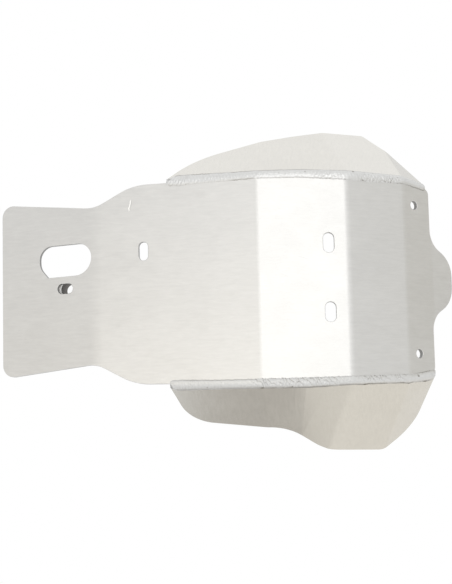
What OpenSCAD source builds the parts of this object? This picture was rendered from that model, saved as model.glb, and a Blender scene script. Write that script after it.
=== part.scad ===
// Welded aluminium skid plate for a motorcycle, in millimetres.
// +X is forward, +Y is left and +Z is up. The origin is the middle of the floor panel's inner face.
// Each sheet is worked out as its blank and then folded, so its edges and holes are square to its panels.

/* [Plate] */
// Thickness of the main plate
plate_t = 4.8; // [3:0.1:6]
// Length of the tail panel
tail_len = 102; // [85:1:130]
// Length of the level floor panel
floor_len = 167; // [140:1:200]
// Length of the ramp panel
ramp_len = 89; // [75:1:110]
// Length of the riser panel
riser_len = 62.5; // [45:0.5:80]
// Length of the nose panel at its sides
nose_len = 34.5; // [28:0.5:45]

/* [Folds] */
// Upward fold between the tail and the floor, in degrees
tail_fold = 7.5; // [4:0.5:15]
// Upward fold between the floor and the ramp, in degrees
ramp_fold = 11; // [6:0.5:16]
// Upward fold between the ramp and the riser, in degrees
riser_fold = 20; // [12:0.5:26]
// Upward fold between the riser and the nose, in degrees
nose_fold = 15; // [8:0.5:22]
// Inside radius of the soft tail fold
tail_fold_r = 110; // [60:1:160]
// Inside radius of the other folds of the plate
fold_r = 16; // [6:1:30]

/* [Plate outline] */
// Width at the tail's end
tail_w = 180; // [160:1:200]
// Width at the neck, on the tail fold
neck_w = 159; // [140:1:170]
// Width at the shoulders
shoulder_w = 202; // [190:1:215]
// Distance from the neck to the shoulders
shoulder_x = 40; // [30:1:55]
// Width at the fold between the floor and the ramp
floor_w = 207; // [195:1:220]
// Width where the ramp starts to narrow
ramp_w = 208; // [196:1:222]
// Distance along the ramp to that point
ramp_wide_x = 43.5; // [30:0.5:55]
// Width at the fold between the ramp and the riser
riser_w = 204; // [190:1:215]
// Width at the fold between the riser and the nose
nose_w = 200; // [185:1:210]
// Width at the nose's front corners
nose_end_w = 188; // [175:1:198]
// Radius of the tail's corners
tail_corner_r = 12; // [6:1:20]
// Radius of the hollow curve at the neck
neck_r = 30; // [15:1:40]
// Radius of the shoulders
shoulder_r = 60; // [30:1:70]
// Radius of the nose's front corners
nose_corner_r = 7; // [3:0.5:10]

/* [Nose lobe] */
// How far the lobe stands out of the nose's front edge
lobe_len = 29; // [20:1:36]
// Width of the lobe at its root, between the straight lines that the curves blend
lobe_root_w = 77; // [65:1:90]
// Width of the lobe at its tip, between the same lines
lobe_tip_w = 42; // [34:1:52]
// Radius of the lobe's tip
lobe_tip_r = 28; // [16:1:30]
// Radius of the hollow curves at its root
lobe_root_r = 24; // [10:1:28]

/* [Holes] */
// Diameter of the two nose bolt holes
nose_hole_d = 9; // [6:0.1:12]
// Spacing of the nose bolt holes
nose_hole_gap = 152; // [130:1:160]
// Distance of the nose bolt holes from the nose fold
nose_hole_x = 13.5; // [10:0.5:18]
// Width of the ramp slots
ramp_slot_w = 11; // [8:0.1:13]
// Length of the ramp slots
ramp_slot_len = 20; // [14:0.5:26]
// Spacing of the ramp slots
ramp_slot_gap = 69.5; // [55:0.5:85]
// Distance of the ramp slots from the ramp fold
ramp_slot_x = 70; // [50:0.5:72]
// Width of the floor slot
floor_slot_w = 9.6; // [7:0.1:12]
// Length of the floor slot
floor_slot_len = 19; // [13:0.5:25]
// Distance of the floor slot from the tail fold
floor_slot_x = 50.5; // [40:0.5:70]
// Distance of the floor slot to the right of the centreline
floor_slot_y = 33; // [20:1:50]
// Distance of the drain opening from the tail fold
drain_x = 31.5; // [30:0.5:40]
// Length of the drain opening
drain_len = 57.4; // [50:0.2:58]
// Width of the drain opening
drain_w = 33; // [32:0.5:33.5]
// Distance of the drain opening to the right of the centreline
drain_y = 27.8; // [27.5:0.1:34]
// Slant of the drain opening, in degrees
drain_slant = 2.5; // [0:0.5:8]
// Radius of the drain opening's two right corners
drain_r = 14; // [8:0.5:14]
// Length of the cut across its rear left corner
drain_cut_len = 9; // [5:0.5:11]
// Width of that cut
drain_cut_w = 11; // [8:0.5:12]
// Distance of the rear bolt slot from the tail fold
rear_slot_x = 32.3; // [30:0.1:40]
// Distance of the rear bolt slot to the left of the centreline
rear_slot_y = 0.9; // [-1:0.1:3]
// Length of the rear bolt slot
rear_slot_len = 17; // [12:0.5:17]
// Width of the rear bolt slot
rear_slot_w = 10.3; // [8:0.1:11]

/* [Rear spacer] */
// Outside diameter of the spacer tube
spacer_d = 18; // [17.5:0.5:19]
// Bore of the spacer tube
spacer_bore_d = 13; // [11:0.1:14]
// Length of the spacer tube
spacer_len = 17; // [8:0.5:25]
// Leg of the fillet weld round its foot
spacer_weld_leg = 2; // [1:0.1:3]

/* [Wings] */
// Thickness of the wings
wing_t = 4.8; // [3:0.1:6]
// Outward lean of the wings from upright, in degrees
wing_flare = 40; // [30:1:48]
// Distance from the tail fold to the wings' rear ends
wing_x = 75.5; // [65:0.5:90]
// Gap between the plate's edge and a wing before welding
root_gap = 0.2; // [0.15:0.05:0.6]
// Backward lean of the wing fold over the ramp, in degrees
ramp_lean = 1; // [0:1:8]
// Backward lean of the wing fold at the riser, in degrees
riser_lean = 12; // [4:1:16]
// Backward lean of the wing fold at the nose, in degrees
nose_lean = -4; // [-10:1:4]

/* [Left wing] */
// Height of the left wing's rear corner over its seam
left_heel_h = 49.5; // [35:0.5:60]
// Distance of that corner from the wing's rear end
left_heel_x = 13; // [8:0.5:20]
// Height of the dip ahead of it
left_dip_h = 60; // [48:0.5:68]
// Distance of the dip from the ramp fold
left_dip_x = 27; // [18:0.5:35]
// Height of the shoulder of the front lobe
left_rise_h = 96; // [84:0.5:104]
// Distance of that shoulder from the middle ramp fold
left_rise_x = 20; // [14:0.5:28]
// Height of the lobe's top corner
left_top_h = 104; // [92:0.5:112]
// Distance of the top corner from the riser fold
left_top_x = 65.5; // [58:0.5:74]
// Height of the front curve's corner
left_front_h = 74; // [62:0.5:84]
// Distance of the front curve's corner from the nose fold
left_front_x = 42; // [34:0.5:50]
// Height of the wing's front end
left_toe_h = 5; // [2:0.5:8]

/* [Right wing] */
// Height of the right wing's rear corner over its seam
right_heel_h = 36.5; // [26:0.5:46]
// Distance of that corner from the wing's rear end
right_heel_x = 23; // [16:0.5:30]
// Height of the right wing's top corner
right_top_h = 90; // [76:0.5:98]
// Distance of the top corner from the riser fold
right_top_x = 49.8; // [42:0.2:60]
// Distance from the right wing's front end to the nose corner
right_toe_in = 4.5; // [2:0.5:8]

/* [Weld beads] */
// How far a bead runs onto the faces beside the joint
bead_toe = 2.6; // [1.8:0.1:3.4]
// Bulge of a bead over its chord
bead_bulge = 2.4; // [2:0.1:3]
// Gap between a bead and the sheets that it joins
bead_gap = 0.1; // [0.05:0.05:0.1]
// Distance between ripples
ripple_pitch = 3.6; // [3:0.1:6]
// Height of the ripples
ripple_h = 0.22; // [0:0.02:0.4]

/* [Hidden] */
$fn = 96;

// Rise of each panel from the level floor
ramp_rise = ramp_fold;
riser_rise = ramp_rise + riser_fold;
nose_rise = riser_rise + nose_fold;

// How deep the bead's root stops short of the sheets' inner corners
bead_root = 1;
// Length of the rounded end of a bead, and its size at the very end
bead_end_len = 5;
bead_end_share = 0.55;
// Points across the crown of a bead
bead_crown_n = 6;
// Radii of the wings' rounded corners, and how far the left wing's front end passes the seam's
left_front_r = 50;
left_top_r = 12;
left_rise_r = 75;
left_dip_r = 50;
left_heel_r = 36;
left_toe_out = 1;
right_top_r = 4;
right_heel_r = 100;
// Straight piece of the drain opening's front end, and the radius at the end of its cut corner
drain_straight = 1;
drain_edge_r = 1;
// Larger than the whole part, for cutting
far = 600;
// Largest step round an outline's curve, in degrees, and the steps across a fold
arc_step = 6;
fold_n = 4;

aluminium = [0.84, 0.84, 0.82];
weld_grey = [0.74, 0.75, 0.75];

function unit(v) = v / norm(v);
function dir(a) = [cos(a), sin(a)];
function turn_between(u, v) = atan2(cross(u, v), u * v);

// An outline with rounded corners. Each corner is [x, y, radius], and the corners go round either way.
function corner_at(c, i) = [c[i][0], c[i][1]];
function corner_in(c, i) = unit(corner_at(c, i) - corner_at(c, (i + len(c) - 1) % len(c)));
function corner_out(c, i) = unit(corner_at(c, (i + 1) % len(c)) - corner_at(c, i));
function corner_arc(c, i) =
    let (
        u = corner_in(c, i),
        v = corner_out(c, i),
        turn = turn_between(u, v),
        centre = corner_at(c, i) + unit(v - u) * c[i][2] / cos(turn / 2),
        first = corner_at(c, i) - u * c[i][2] * tan(abs(turn) / 2) - centre,
        n = max(2, ceil(abs(turn) / arc_step))
    )
    [for (k = [0 : n]) let (a = turn * k / n)
        centre + [first[0] * cos(a) - first[1] * sin(a), first[0] * sin(a) + first[1] * cos(a)]];
function rounded(c) = [for (i = [0 : len(c) - 1]) each c[i][2] > 0 ? corner_arc(c, i) : [corner_at(c, i)]];

// A slot with round ends, its length along X
module slot(length, width) {
    run = length - width;
    for (s = [-1, 1]) translate([s * run / 2, 0]) circle(d = width);
    square([run, width], center = true);
}

// Side view of the plate. A fold is [corner on the inner face, rise before it, rise after it, inside radius].
tail_foot = [-floor_len / 2, 0];
ramp_foot = [floor_len / 2, 0];
riser_foot = ramp_foot + ramp_len * dir(ramp_rise);
nose_foot = riser_foot + riser_len * dir(riser_rise);
front_foot = nose_foot + nose_len * dir(nose_rise);
tail_end = tail_foot - tail_len * dir(-tail_fold);
lobe_tip = front_foot + 2 * lobe_len * dir(nose_rise);
plate_folds = [
    [tail_foot, -tail_fold, 0, tail_fold_r],
    [ramp_foot, 0, ramp_rise, fold_r],
    [riser_foot, ramp_rise, riser_rise, fold_r],
    [nose_foot, riser_rise, nose_rise, fold_r]
];
// Points along a fold on the inner face, each [x, z, rise there]
function fold_arc(f) =
    let (centre = f[0] + f[3] / cos((f[2] - f[1]) / 2) * dir((f[1] + f[2]) / 2 + 90))
    [for (k = [0 : fold_n])
        let (a = f[1] + (f[2] - f[1]) * k / fold_n, q = centre + f[3] * dir(a - 90)) [q[0], q[1], a]];
inner_line = concat(
    [[tail_end[0], tail_end[1], -tail_fold]],
    [for (f = plate_folds) each fold_arc(f)],
    [[lobe_tip[0], lobe_tip[1], nose_rise]]
);
function inner_z(x) = lookup(x, [for (q = inner_line) [q[0], q[1]]]);
function rise_at(x) = lookup(x, [for (q = inner_line) [q[0], q[2]]]);
function fold_middle(f) = fold_arc(f)[fold_n / 2][0];

// Half of the plate's outline seen from above, from the tail to the nose's front. Widths at a fold are
// taken in the fold's middle, and the edge runs straight from one to the next.
side_corners = [
    [tail_end[0], tail_w / 2, 0],
    [tail_foot[0], neck_w / 2, neck_r],
    [tail_foot[0] + shoulder_x, shoulder_w / 2, shoulder_r],
    [fold_middle(plate_folds[1]), floor_w / 2, 0],
    [ramp_foot[0] + ramp_wide_x * cos(ramp_rise), ramp_w / 2, 0],
    [fold_middle(plate_folds[2]), riser_w / 2, 0],
    [fold_middle(plate_folds[3]), nose_w / 2, 0],
    [front_foot[0], nose_end_w / 2, 0],
    [lobe_tip[0], nose_end_w / 2, 0]
];
side_line = [for (i = [0 : len(side_corners) - 1])
    each side_corners[i][2] > 0 ? corner_arc(side_corners, i) : [corner_at(side_corners, i)]];
function edge_y(x) = lookup(x, side_line);

function sorted(v) = len(v) == 0 ? [] : concat(
    sorted([for (q = v) if (q < v[0]) q]),
    [v[0]],
    sorted([for (q = v) if (q > v[0]) q])
);

// The folded blank: a section square to the sheet wherever the side view or the outline turns
module folded_blank() {
    xs = sorted([for (q = concat(inner_line, side_line)) q[0]]);
    n = len(xs);
    points = [for (x = xs)
        let (y = edge_y(x), z = inner_z(x), a = rise_at(x), dx = plate_t * sin(a), dz = -plate_t * cos(a))
        each [[x, y, z], [x, -y, z], [x + dx, -y, z + dz], [x + dx, y, z + dz]]];
    polyhedron(points = points, faces = concat(
        [[0, 1, 2, 3]],
        [for (i = [0 : n - 2]) let (a = 4 * i, b = 4 * i + 4) each [
            [b, b + 1, a + 1, a],
            [a + 2, b + 2, b + 3, a + 3],
            [b + 2, a + 2, a + 1], [b + 1, b + 2, a + 1],
            [b + 3, b, a], [a + 3, b + 3, a]
        ]],
        [[for (k = [3 : -1 : 0]) 4 * n - 4 + k]]
    ));
}

// Places what is drawn flat on a panel, with X counted from the panel's rear fold
module on_panel(foot, rise) {
    translate([foot[0], 0, foot[1]]) rotate([0, -rise, 0]) children();
}
module on_tail() {
    on_panel(tail_foot, -tail_fold) children();
}

// Cuts square through a panel
module through() {
    linear_extrude(6 * plate_t, center = true) children();
}

// Keeps a panel inside an outline that is the same on both sides of the centreline. The first corners given
// are the panel's end, and the last lies on its straight side, from where all of the rest is kept.
module keep_end(side) {
    last = side[len(side) - 1];
    half = concat(side, [[last[0], far / 2, 0], [last[0] - sign(side[0][0]) * far / 2, far / 2, 0]]);
    through() difference() {
        translate([last[0] - (side[0][0] < 0 ? far / 2 : 0), -far / 2]) square([far / 2, far]);
        polygon(rounded(concat(
            half,
            [for (i = [len(half) - 1 : -1 : 0]) [half[i][0], -half[i][1], half[i][2]]]
        )));
    }
}

// The drain opening. Its front left corner takes the width that the right corner beside it leaves, less a
// short straight piece, and its rear left corner is cut off.
drain_corners = [
    [-drain_len / 2, -drain_w / 2, drain_r],
    [drain_len / 2, -drain_w / 2, drain_r],
    [drain_len / 2, drain_w / 2, drain_w - drain_r - drain_straight],
    [drain_cut_len - drain_len / 2, drain_w / 2, drain_edge_r],
    [-drain_len / 2, drain_w / 2 - drain_cut_w, drain_r]
];

module main_plate() {
    color(aluminium) difference() {
        folded_blank();
        on_panel(nose_foot, nose_rise) {
            keep_end([
                [nose_len + lobe_len, lobe_tip_w / 2, lobe_tip_r],
                [nose_len, lobe_root_w / 2, lobe_root_r],
                [nose_len, nose_end_w / 2, nose_corner_r],
                [nose_len / 2, (nose_end_w + nose_w) / 4, 0]
            ]);
            for (s = [-1, 1]) through()
                translate([nose_hole_x, s * nose_hole_gap / 2]) circle(d = nose_hole_d);
        }
        on_panel(ramp_foot, ramp_rise) for (s = [-1, 1])
            through() translate([ramp_slot_x, s * ramp_slot_gap / 2]) rotate(90)
                slot(ramp_slot_len, ramp_slot_w);
        on_panel(tail_foot, 0)
            through() translate([floor_slot_x, -floor_slot_y]) rotate(90)
                slot(floor_slot_len, floor_slot_w);
        on_tail() {
            keep_end([
                [-tail_len, tail_w / 2, tail_corner_r],
                [-tail_len / 2, (tail_w + neck_w) / 4, 0]
            ]);
            through() translate([-drain_x, -drain_y]) rotate(-drain_slant) polygon(rounded(drain_corners));
            through() translate([-rear_slot_x, rear_slot_y]) slot(rear_slot_len, rear_slot_w);
        }
    }
}

// The seam: the plate's left edge on the inner face, moved out by the root gap. Each place on it is
// [point, rise of the plate ahead, lean of the wing's fold there or undef within a fold].
function seam_point(x) = [x, edge_y(x) + root_gap, inner_z(x)];
function seam_fold(f, lean) = [for (k = [0 : fold_n]) [
    seam_point(fold_arc(f)[k][0]),
    f[1] + (f[2] - f[1]) * min(1, (k + 0.5) / fold_n),
    k == 0 ? lean : undef
]];
seam_places = concat(
    [[seam_point(tail_foot[0] + wing_x), 0, 0]],
    seam_fold(plate_folds[1], 0),
    [[seam_point(side_corners[4][0]), ramp_rise, ramp_lean]],
    seam_fold(plate_folds[2], riser_lean),
    seam_fold(plate_folds[3], nose_lean),
    [[seam_point(front_foot[0]), nose_rise, undef]]
);
seam = [for (q = seam_places) q[0]];
seam_n = len(seam) - 1;
function seam_dir(i) = unit(seam[i + 1] - seam[i]);
function seam_len(i) = norm(seam[i + 1] - seam[i]);
// Stretches of the seam that the wings' corners are counted from
ramp_i = fold_n + 1;
wide_i = fold_n + 2;
riser_i = 2 * fold_n + 3;
nose_i = seam_n - 1;

// Facets of the left wing, one for each stretch of the seam. A facet is [x axis along the seam, y axis up
// the wing, z axis to the wing's inner side, flat heading, flat start, flat direction of its rear fold].
// A fold line starts on the seam and leans back from square to it, and the lines within one fold stay
// parallel on the blank.
first_up = [0, sin(wing_flare), cos(wing_flare)];
function first_facet() =
    let (e = seam_dir(0), z = unit(cross(e, first_up)))
    [e, cross(z, e), z, 0, [0, 0], 90];
function next_facet(f, i) =
    let (
        lean = seam_places[i][2],
        heading = is_undef(lean) ? f[5] : f[3] + 90 + lean,
        d = cos(heading - f[3]) * f[0] + sin(heading - f[3]) * f[1],
        e = seam_dir(i),
        z = unit(cross(e, d))
    )
    [e, cross(z, e), z, heading - acos(d * e), f[4] + seam_len(i - 1) * dir(f[3]), heading];
facets = [for (i = 0, f = first_facet(); i < seam_n; i = i + 1, f = i < seam_n ? next_facet(f, i) : f) f];

// A corner of a wing's blank, given along the seam and up from it on one facet
function wing_corner(i, along, up, r) =
    let (p = facets[i][4] + along * dir(facets[i][3]) + up * dir(facets[i][3] + 90))
    [p[0], p[1], r];
// The foot of a wing's blank, which stops short of the seam's front end by toe_in
function wing_foot(toe_in) = concat(
    [for (f = facets) f[4]],
    [facets[nose_i][4] + (seam_len(nose_i) - toe_in) * dir(facets[nose_i][3])]
);

// The free edge of each wing's blank, from its front end to its rear end
left_edge = [
    wing_corner(nose_i, seam_len(nose_i) + left_toe_out, left_toe_h, 0),
    wing_corner(nose_i, left_front_x, left_front_h, left_front_r),
    wing_corner(riser_i, left_top_x, left_top_h, left_top_r),
    wing_corner(wide_i, left_rise_x, left_rise_h, left_rise_r),
    wing_corner(ramp_i, left_dip_x, left_dip_h, left_dip_r),
    wing_corner(0, left_heel_x, left_heel_h, left_heel_r)
];
right_edge = [
    wing_corner(riser_i, right_top_x, right_top_h, right_top_r),
    wing_corner(0, right_heel_x, right_heel_h, right_heel_r)
];

// The free edge with its corners rounded and a point wherever a fold line meets it. Each entry is
// [point, facet that holds it, fold that it lies on or 0].
function rear_of(i, q) = cross(dir(facets[i][5]), q - facets[i][4]);
function facet_of(q) = max([for (i = [0 : seam_n - 1]) i == 0 || rear_of(i, q) < 0 ? i : 0]);
function edge_points(corners, toe_in) =
    let (
        c = concat([concat(wing_foot(toe_in)[seam_n], 0)], corners, [[0, 0, 0]]),
        all = rounded(c),
        q = [for (i = [0 : len(all) - 2]) all[i]]
    )
    [for (k = [0 : len(q) - 1]) each concat(
        k == 0 ? [] : [[q[k], facet_of(q[k]), 0]],
        k == len(q) - 1 ? [] :
            [for (i = [seam_n - 1 : -1 : 1])
                let (a = rear_of(i, q[k]), b = rear_of(i, q[k + 1]))
                if (a < 0 && b >= 0) [q[k] + (q[k + 1] - q[k]) * a / (a - b), i, i]]
    )];

// Folds a point of the blank into place, depth below the inner face. On a fold line the depth is mitred.
function fold_up(q, i, on_fold, depth) =
    let (
        r = q - facets[i][4],
        h = facets[i][3],
        p = seam[i]
            + facets[i][0] * (r[0] * cos(h) + r[1] * sin(h))
            + facets[i][1] * (r[1] * cos(h) - r[0] * sin(h)),
        z = on_fold > 0 ? unit(facets[i][2] + facets[i - 1][2]) : facets[i][2]
    )
    p - z * depth / (z * facets[i][2]);

module folded_wing(corners, toe_in) {
    foot = wing_foot(toe_in);
    edge = edge_points(corners, toe_in);
    loop = concat([for (i = [0 : seam_n]) [foot[i], min(i, seam_n - 1), i == seam_n ? 0 : i]], edge);
    n = len(loop);
    // Where each fold line meets the free edge
    ends = [for (i = [0 : seam_n - 1])
        i == 0 ? n : [for (k = [seam_n + 1 : n - 1]) if (loop[k][2] == i) k][0]];
    sides = [for (i = [0 : seam_n - 1]) concat(
        [i, i + 1],
        [for (k = [i == seam_n - 1 ? seam_n + 1 : ends[i + 1] : 1 : min(ends[i], n - 1)]) k]
    )];
    polyhedron(
        points = [for (depth = [0, wing_t], q = loop) fold_up(q[0], q[1], q[2], depth)],
        faces = concat(
            [for (f = sides) [for (k = [len(f) - 1 : -1 : 0]) f[k]]],
            [for (f = sides) [for (k = f) k + n]],
            [for (k = [0 : n - 1]) [k, (k + 1) % n, (k + 1) % n + n, k + n]]
        )
    );
}

module left_wing() {
    color(aluminium) folded_wing(left_edge, 0);
}

module right_wing() {
    color(aluminium) mirror([0, 1, 0]) folded_wing(right_edge, right_toe_in);
}

// Weld beads. A ring of the bead at a place on the seam is a list of offsets from the wing's inner corner:
// out is level across the plate, down leaves the plate's outer face, off leaves the wing's outer face
// and up climbs the wing. size shrinks the ring at the bead's ends.
function bead_ring(i, size, swell) =
    let (
        e = seam_dir(i),
        down = [sin(seam_places[i][1]), 0, -cos(seam_places[i][1])],
        out = cross(e, down),
        off = -facets[i][2],
        up = facets[i][1],
        toe = bead_toe * size,
        plate_toe = -(root_gap + toe) * out + (plate_t + bead_gap) * down,
        wing_toe = (wing_t + bead_gap) * off + toe * up,
        crown = unit(down + off) * bead_bulge * size * swell
    )
    concat(
        [for (k = [0 : bead_crown_n]) let (q = k / bead_crown_n)
            plate_toe + (wing_toe - plate_toe) * q + crown * 4 * q * (1 - q)],
        [
            (wing_t + bead_gap) * off - bead_gap * up,
            (bead_gap - root_gap) * out + bead_root * down,
            (bead_gap - root_gap) * out + (plate_t + bead_gap) * down
        ]
    );

// A ring slid along its stretch onto the plane that halves the corner between two stretches
function mitred(ring, i, m) = [for (q = ring) q - seam_dir(i) * (q * m) / (seam_dir(i) * m)];
function corner_ring(i, swell) =
    let (
        m = seam_dir(i - 1) + seam_dir(i),
        a = mitred(bead_ring(i - 1, 1, swell), i - 1, m),
        b = mitred(bead_ring(i, 1, swell), i, m)
    )
    [for (k = [0 : len(a) - 1]) seam[i] + (a[k] + b[k]) / 2];

function end_share(d) =
    let (q = min(1, d / bead_end_len))
    bead_end_share + (1 - bead_end_share) * sqrt(1 - (1 - q) * (1 - q));
function ripple(k) = 1 + (k % 2 == 0 ? ripple_h : -ripple_h) / bead_bulge;
function steps(i) = seam_len(i) < ripple_pitch ? 1 : ceil(seam_len(i) / ripple_pitch) * 2;

// Every ring of a bead that stops short of the seam's front end by toe_in
function bead_rings(toe_in) = concat(
    [for (i = [0 : seam_n - 1])
        let (n = steps(i), run = seam_len(i) - (i == seam_n - 1 ? toe_in : 0))
        for (k = [0 : n - 1])
            let (
                along = run * k / n,
                size = i == 0 ? end_share(along) : i == seam_n - 1 ? end_share(run - along) : 1
            )
            k == 0 && i > 0
                ? corner_ring(i, ripple(k))
                : [for (q = bead_ring(i, size, ripple(k))) seam[i] + along * seam_dir(i) + q]],
    [[for (q = bead_ring(seam_n - 1, bead_end_share, 1))
        seam[seam_n] - toe_in * seam_dir(seam_n - 1) + q]]
);

module skin(rings) {
    n = len(rings[0]);
    m = len(rings);
    polyhedron(
        points = [for (r = rings) each r],
        faces = concat(
            [[for (k = [0 : n - 1]) k]],
            [for (j = [0 : m - 2], k = [0 : n - 1])
                [j * n + k, (j + 1) * n + k, (j + 1) * n + (k + 1) % n, j * n + (k + 1) % n]],
            [[for (k = [n - 1 : -1 : 0]) (m - 1) * n + k]]
        )
    );
}

module left_weld() {
    color(weld_grey) skin(bead_rings(0));
}

module right_weld() {
    color(weld_grey) mirror([0, 1, 0]) skin(bead_rings(right_toe_in));
}

// The spacer stands on the tail's inner face, over the rear bolt slot
module rear_spacer() {
    color(aluminium) on_tail() translate([-rear_slot_x, rear_slot_y, 0]) difference() {
        cylinder(d = spacer_d, h = spacer_len);
        translate([0, 0, -1]) cylinder(d = spacer_bore_d, h = spacer_len + 2);
    }
}

module spacer_weld() {
    inner_r = spacer_d / 2 + bead_gap;
    color(weld_grey) on_tail() translate([-rear_slot_x, rear_slot_y, bead_gap])
        rotate_extrude() polygon([
            [inner_r, 0],
            [inner_r + spacer_weld_leg, 0],
            [inner_r + spacer_weld_leg * 0.6, spacer_weld_leg * 0.6],
            [inner_r, spacer_weld_leg]
        ]);
}

main_plate();
left_wing();
right_wing();
left_weld();
right_weld();
rear_spacer();
spacer_weld();
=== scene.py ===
"""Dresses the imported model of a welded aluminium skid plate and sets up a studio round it."""

import math

import bpy
import numpy as np
from bpy.props import FloatProperty, FloatVectorProperty, PointerProperty
from mathutils import Matrix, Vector
from mathutils.geometry import delaunay_2d_cdt


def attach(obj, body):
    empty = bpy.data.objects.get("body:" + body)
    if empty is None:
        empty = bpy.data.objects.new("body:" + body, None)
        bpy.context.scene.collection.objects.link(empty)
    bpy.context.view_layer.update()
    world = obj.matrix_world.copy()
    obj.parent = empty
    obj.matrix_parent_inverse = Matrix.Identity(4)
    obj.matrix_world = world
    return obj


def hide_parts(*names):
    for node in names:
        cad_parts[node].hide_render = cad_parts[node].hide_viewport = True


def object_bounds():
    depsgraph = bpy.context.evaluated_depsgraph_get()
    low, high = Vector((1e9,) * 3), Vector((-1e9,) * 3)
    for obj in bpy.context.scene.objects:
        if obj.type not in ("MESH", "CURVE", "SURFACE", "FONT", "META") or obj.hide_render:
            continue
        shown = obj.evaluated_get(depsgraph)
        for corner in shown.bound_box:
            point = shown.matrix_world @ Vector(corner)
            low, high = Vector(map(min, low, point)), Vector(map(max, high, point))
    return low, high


bl_info = {
    "name": "Skid Plate Studio",
    "version": (1, 0, 0),
    "blender": (4, 5, 0),
    "location": "View3D > Sidebar > Skid Plate",
    "description": "Sheets, weld beads, finishes and studio for a welded aluminium skid plate",
    "category": "Object",
}

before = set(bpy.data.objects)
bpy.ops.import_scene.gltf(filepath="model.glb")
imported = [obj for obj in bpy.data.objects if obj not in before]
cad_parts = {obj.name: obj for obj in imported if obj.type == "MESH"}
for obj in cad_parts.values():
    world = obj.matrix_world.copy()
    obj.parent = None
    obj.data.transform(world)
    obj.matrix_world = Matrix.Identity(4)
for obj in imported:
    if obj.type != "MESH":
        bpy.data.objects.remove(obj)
CAD_BOX = [list(corner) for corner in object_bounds()]
MM = 0.001
TINY = 1e-6

# ---- sizes shared with the CAD model, in mm
SHEET = 4.8
TAIL_LEN, FLOOR_LEN, RAMP_LEN, RISER_LEN, NOSE_LEN = 102.0, 167.0, 89.0, 62.5, 34.5
TAIL_RISE, RAMP_RISE, RISER_RISE, NOSE_RISE = -7.5, 11.0, 31.0, 46.0
TAIL_FOLD_R, FOLD_R = 110.0, 16.0
FOLD_STEPS = 4
PAST_NOSE = 60.0
WING_START = 75.5
WING_FLARE = 40.0
ROOT_GAP = 0.2
FOLD_LEANS = {"ramp": 1.0, "riser": 12.0, "nose": -4.0}
TOE_IN = {"left": 0.0, "right": 4.5}
REAR_SLOT = np.array([-32.3, 0.9])
SPACER_R, SPACER_BORE_R, SPACER_LEN = 9.0, 6.5, 17.0
TUBE_CHAMFER = 0.5
TUBE_STEPS, FILLET_STEPS = 72, 180
BEAD_GAP = 0.1
TOE_GAP = 0.3 * BEAD_GAP


def unit(v):
    """Each vector divided by its own length."""
    v = np.asarray(v, float)
    return v / np.linalg.norm(v, axis=-1, keepdims=True)


def heading(degrees):
    """The unit vector that stands at that angle from the first axis."""
    a = np.radians(degrees)
    return np.stack([np.cos(a), np.sin(a)], -1)


def between(t, knots, rows):
    """The rows at t, each column interpolated between the knots."""
    return np.stack([np.interp(t, knots, column) for column in np.transpose(rows)], -1)


def running(steps):
    """The distances at which the steps start, and the last one's end."""
    return np.concatenate([[0], np.cumsum(steps)])


def cross2(a, b):
    """The flat cross product a.x b.y - a.y b.x."""
    a, b = np.asarray(a), np.asarray(b)
    return a[..., 0] * b[..., 1] - a[..., 1] * b[..., 0]


def rounded(corners, step=3.0):
    """A closed outline from corners [x, y, radius]: each corner with a radius becomes an arc round the centre that
    lies on its bisector, radius / cos(half the turn) away, from the tangent point before it to the one after."""
    corners = np.asarray(corners, float)
    at, out = corners[:, :2], []
    for i, r in enumerate(corners[:, 2]):
        if r == 0:
            out.append(at[i : i + 1])
            continue
        u, v = unit(at[i] - at[i - 1]), unit(at[(i + 1) % len(at)] - at[i])
        turn = math.atan2(cross2(u, v), u @ v)
        centre = at[i] + unit(v - u) * r / math.cos(turn / 2)
        first = at[i] - u * r * math.tan(abs(turn) / 2) - centre
        a = np.linspace(0, turn, max(3, math.ceil(math.degrees(abs(turn)) / step) + 1))
        c, s = np.cos(a), np.sin(a)
        out.append(centre + np.stack([first[0] * c - first[1] * s, first[0] * s + first[1] * c], -1))
    return np.concatenate(out)


# ---- the plate's side view
TAIL_FOOT = np.array([-FLOOR_LEN / 2, 0.0])
RAMP_FOOT = -TAIL_FOOT
RISER_FOOT = RAMP_FOOT + RAMP_LEN * heading(RAMP_RISE)
NOSE_FOOT = RISER_FOOT + RISER_LEN * heading(RISER_RISE)
FRONT_FOOT = NOSE_FOOT + NOSE_LEN * heading(NOSE_RISE)
FOLDS = [
    (TAIL_FOOT, TAIL_RISE, 0.0, TAIL_FOLD_R),
    (RAMP_FOOT, 0.0, RAMP_RISE, FOLD_R),
    (RISER_FOOT, RAMP_RISE, RISER_RISE, FOLD_R),
    (NOSE_FOOT, RISER_RISE, NOSE_RISE, FOLD_R),
]


def fold_arc(foot, before, after, r, steps=FOLD_STEPS):
    """Points round a fold's centre at the inside radius, each [x, z, rise there]."""
    centre = foot + r / math.cos(math.radians(after - before) / 2) * heading((before + after) / 2 + 90)
    rise = np.linspace(before, after, steps + 1)
    return np.column_stack([centre + r * heading(rise - 90), rise])


def inner_line(steps):
    """The inner face in side view, [x, z, rise]: straight panels joined by the folds' arcs, and on past the nose."""
    rear = TAIL_FOOT - TAIL_LEN * heading(TAIL_RISE)
    front = FRONT_FOOT + PAST_NOSE * heading(NOSE_RISE)
    return np.vstack([[*rear, TAIL_RISE], *[fold_arc(*f, steps) for f in FOLDS], [*front, NOSE_RISE]])


LINE = inner_line(3 * FOLD_STEPS)
RUN = running(np.hypot(*np.diff(LINE[:, :2], axis=0).T))
COARSE = inner_line(FOLD_STEPS)


def fold_middle(i):
    """The x at the middle of a fold's arc."""
    return fold_arc(*FOLDS[i])[FOLD_STEPS // 2][0]


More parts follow.
